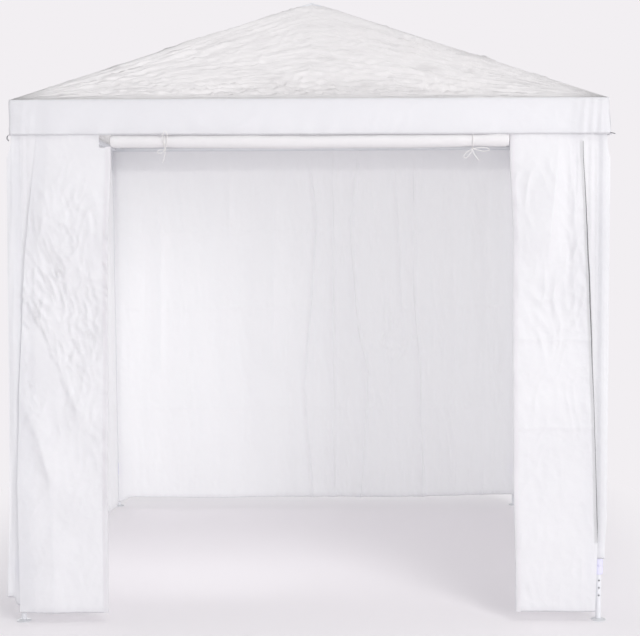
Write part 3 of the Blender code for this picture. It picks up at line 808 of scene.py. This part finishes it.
def door_roll():
    outer = ROLL_R - 0.0015
    pitch = math.pi * (outer**2 - ROLL_CORE**2) / DOOR_HEIGHT
    turns = (outer - ROLL_CORE) / pitch
    count = round(turns * 20)
    turn = np.linspace(0, turns, count + 1)[None, :]
    columns = 150
    x = np.linspace(*ROLL_ENDS, columns + 1)[:, None]
    angle = math.tau * turn + math.radians(200)
    radius = ROLL_CORE + pitch * turn + 0 * x
    round_it = np.stack([x / 0.12 + 0 * turn, np.cos(angle) + 0 * x, np.sin(angle) + 0 * x], axis=-1)
    soft = 0.045 * waves(round_it, 2.4, 141) + 0.022 * crumple(round_it * [1.6, 1, 1], 1.3, 142)
    radius = radius * pinched(x) * (1 + soft + 0.02)
    ends = np.minimum(x - ROLL_ENDS[0], ROLL_ENDS[1] - x)
    slip = 0.006 * np.sin(turn * 0.9) * np.exp(-np.clip(ends, 0, None) / 0.02) * np.sign(x)
    droop = 0.003 * np.sin(math.pi * (x - TIE_X["left"]) / (TIE_X["right"] - TIE_X["left"]))
    z = ROLL_Z + ROLL_LIFT - droop + radius * np.cos(angle)
    y = ROLL_Y - radius * np.sin(angle)
    points = np.stack([x + slip + 0 * turn, y, z], axis=-1)
    piece = mesh_piece("rolled_door_cloth", points, grid_faces(*z.shape), ROLL_CLOTH)
    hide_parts("door_roll")


def round_roll(x, angle, radius):
    return Vector((x, ROLL_Y - radius * math.sin(angle), ROLL_Z + radius * math.cos(angle)))


def tail_points(knot, spread):
    """The same route as the frame's solid."""
    steps = 12
    start = knot - Vector((0, 0, KNOT_R + GAP))
    drop = math.sqrt(TAIL_LENGTH**2 - spread**2)
    points = []
    for i in range(steps + 1):
        along_it = i / steps
        points.append(start + Vector((spread * along_it**1.5, 0, -drop * along_it)))
    return points


def bow_loop(knot, way, length, width):
    """A loop of string that leaves the knot and comes back to it."""
    side = Vector((-way.z, -0.25, way.x)).normalized()
    route = [
        knot,
        knot + way * length * 0.35 + side * width * 0.5,
        knot + way * length * 0.8 + side * width * 0.7,
        knot + way * length + side * width * 0.1,
        knot + way * length * 0.75 - side * width * 0.5,
        knot + way * length * 0.35 - side * width * 0.35,
        knot,
    ]
    return smooth_line(route)


def knot_line(knot):
    """Two tight turns of string that make the knot."""
    points = []
    for i in range(49):
        turn = math.tau * i / 48
        offset = Vector((math.cos(2 * turn), 0.6 * math.sin(3 * turn), math.sin(2 * turn) * math.cos(turn)))
        points.append(knot + offset * (KNOT_R - STRING_R) * 0.9)
    return points


def door_ties():
    ring_r = ROLL_R + GAP + STRING_R
    for side, x in TIE_X.items():
        angles = np.linspace(math.radians(42), math.tau + math.radians(14), 60)
        ring = [round_roll(x, a, ring_r - 0.0012 * (1 - math.cos(a))) for a in angles]
        knot = round_roll(x, KNOT_ANGLE, ROLL_R + GAP + KNOT_R)
        if side == "right":
            loops = [
                bow_loop(knot, Vector((-0.72, -0.1, -0.68)).normalized(), 0.052, 0.014),
                bow_loop(knot, Vector((0.98, -0.15, -0.10)).normalized(), 0.070, 0.012),
            ]
        else:
            loops = [
                bow_loop(knot, Vector((-0.9, -0.15, -0.25)).normalized(), 0.034, 0.012),
                bow_loop(knot, Vector((0.1, -0.55, 0.82)).normalized(), 0.090, 0.016),
            ]
        lines = [ring, knot_line(knot), *loops]
        tie = curve_piece(f"tie_bow_{side}", lines, STRING_R, TIE_STRING)
        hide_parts(f"door_tie_{side}")
        points = tail_points(knot, TAIL_SPREAD[side])
        tail = curve_piece(f"tie_tail_{side}", [points], STRING_R, TIE_STRING)
        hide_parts(f"door_tie_tail_{side}")


def guy_loops():
    """A loop of thin cord at each lower corner of the skirt: limp on the left, stiff on the right."""
    for corner, (sx, sy) in CORNERS.items():
        low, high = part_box(f"guy_loop_{corner}")
        outward = Vector((sx, sy, 0)).normalized()
        side = Vector((-sy, sx, 0)).normalized()
        reach = (high.x - low.x) * math.sqrt(2)
        start = Vector((sx * (HALF + 0.001), sy * (HALF + 0.001), SKIRT_LOW + 0.004))
        route = []
        for i in range(33):
            turn = math.tau * i / 32
            away = (1 - math.cos(turn)) / 2
            slim = 0.16 * math.sin(turn) * (0.35 + 0.65 * away)
            if sx > 0:
                place = outward * away + side * slim + Vector((0, 0, -0.22 * away - 0.3 * slim))
            else:
                bowed = outward * (0.25 * math.sin(math.pi * away) + 0.08)
                place = bowed + side * slim + Vector((0, 0, -0.85 * away))
            route.append(start + place * reach)
        loop = curve_piece(f"corner_loop_{corner}", [route], 0.0013, LOOP_STRING)
        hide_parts(f"guy_loop_{corner}")


def dress_frame():
    """Finishes for the frame's own tubes, fittings and feet."""
    finishes = {
        "leg_bracket": PLASTIC,
        "inner_leg": STEEL,
        "foot_plate": FOOT_STEEL,
        "leg": STEEL,
        "rafter": STEEL,
        "eave_bar": STEEL,
        "connector": STEEL,
        "apex_hub": STEEL,
    }
    for name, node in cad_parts.items():
        for start, finish in finishes.items():
            if name.startswith(start):
                node.data.materials.clear()
                node.data.materials.append(finish)
                break


# Studio

def floor():
    """A pale floor that melts into the backdrop away from the gazebo."""
    bpy.ops.mesh.primitive_circle_add(vertices=128, radius=60, fill_type="NGON")
    ground = bpy.context.object
    ground.name = "studio_floor"
    material = bpy.data.materials.new("studio_floor")
    material.use_nodes = True
    nodes, links = material.node_tree.nodes, material.node_tree.links
    shader = nodes["Principled BSDF"]
    shader.inputs["Base Color"].default_value = (0.92, 0.895, 0.915, 1)
    shader.inputs["Roughness"].default_value = 0.9
    shader.inputs["Specular IOR Level"].default_value = 0.1
    glow = nodes.new("ShaderNodeEmission")
    glow.inputs["Color"].default_value = (*BACKDROP, 1)
    place = nodes.new("ShaderNodeTexCoord")
    sides = nodes.new("ShaderNodeVectorMath")
    sides.operation = "ABSOLUTE"
    parts = nodes.new("ShaderNodeSeparateXYZ")
    farther = nodes.new("ShaderNodeMath")
    farther.operation = "SMOOTH_MAX"
    farther.inputs[2].default_value = 0.6
    fade = nodes.new("ShaderNodeMapRange")
    fade.interpolation_type = "SMOOTHSTEP"
    fade.inputs["From Min"].default_value = 1.2
    fade.inputs["From Max"].default_value = 2.1
    mix = nodes.new("ShaderNodeMixShader")
    links.new(place.outputs["Object"], sides.inputs[0])
    links.new(sides.outputs["Vector"], parts.inputs["Vector"])
    links.new(parts.outputs["X"], farther.inputs[0])
    links.new(parts.outputs["Y"], farther.inputs[1])
    links.new(farther.outputs["Value"], fade.inputs["Value"])
    links.new(fade.outputs["Result"], mix.inputs["Fac"])
    links.new(shader.outputs["BSDF"], mix.inputs[1])
    links.new(glow.outputs["Emission"], mix.inputs[2])
    links.new(mix.outputs["Shader"], nodes["Material Output"].inputs["Surface"])
    ground.data.materials.append(material)


def soft_box(name, place, target, size, power, colour):
    light = bpy.data.lights.new(name, "AREA")
    light.shape = "RECTANGLE"
    light.size, light.size_y = size
    light.energy = power
    light.color = colour
    thing = bpy.data.objects.new(name, light)
    thing.location = place
    thing.rotation_euler = (Vector(target) - Vector(place)).to_track_quat("-Z", "Y").to_euler()
    thing.visible_camera = False
    bpy.context.collection.objects.link(thing)


def studio():
    scene = bpy.context.scene
    scene.view_settings.view_transform = "Standard"
    world = bpy.data.worlds.new("studio")
    world.use_nodes = True
    scene.world = world
    nodes, links = world.node_tree.nodes, world.node_tree.links
    light = nodes["Background"]
    light.inputs["Color"].default_value = (0.98, 0.98, 1.0, 1)
    light.inputs["Strength"].default_value = 0.675
    seen = nodes.new("ShaderNodeBackground")
    seen.inputs["Color"].default_value = (*BACKDROP, 1)
    path = nodes.new("ShaderNodeLightPath")
    mix = nodes.new("ShaderNodeMixShader")
    links.new(path.outputs["Is Camera Ray"], mix.inputs["Fac"])
    links.new(light.outputs["Background"], mix.inputs[1])
    links.new(seen.outputs["Background"], mix.inputs[2])
    links.new(mix.outputs["Shader"], nodes["World Output"].inputs["Surface"])
    soft_box("key_box", (5.6, -10.6, 3.0), (0, 0, 1.4), (4.0, 3.2), 440, (1, 0.99, 0.985))
    soft_box("high_box", (3.6, -8.0, 12.0), (0, -0.5, 1.4), (4.0, 4.0), 236, (1, 0.995, 0.985))
    soft_box("inner_box", (-0.50, -0.95, 1.1), (-0.50, 1.2, 1.0), (0.5, 1.1), 2.9, (0.98, 0.99, 1))
    soft_box("back_box", (-3.4, 6.5, 1.0), (-0.6, 1.2, 0.9), (2.6, 1.6), 60, (0.98, 0.99, 1))


def camera():
    data = bpy.data.cameras.new("camera")
    data.lens = CAMERA_LENS
    data.clip_end = 200
    thing = bpy.data.objects.new("camera", data)
    bpy.context.collection.objects.link(thing)
    turn = Matrix.Rotation(CAMERA_YAW, 4, "Z") @ Matrix.Rotation(CAMERA_PITCH, 4, "X")
    turn = turn @ Matrix.Rotation(CAMERA_ROLL, 4, "Y") @ Euler((math.pi / 2, 0, 0)).to_matrix().to_4x4()
    thing.matrix_world = Matrix.Translation(CAMERA_PLACE) @ turn
    bpy.context.scene.camera = thing


camera()
door_ties()
canopy()
back_wall()
for side, sx in (("left", -1), ("right", 1)):
    side_wall(side, sx)
    corner_flap(side, sx)
front_wall()
door_roll()
guy_loops()
dress_frame()
floor()
studio()
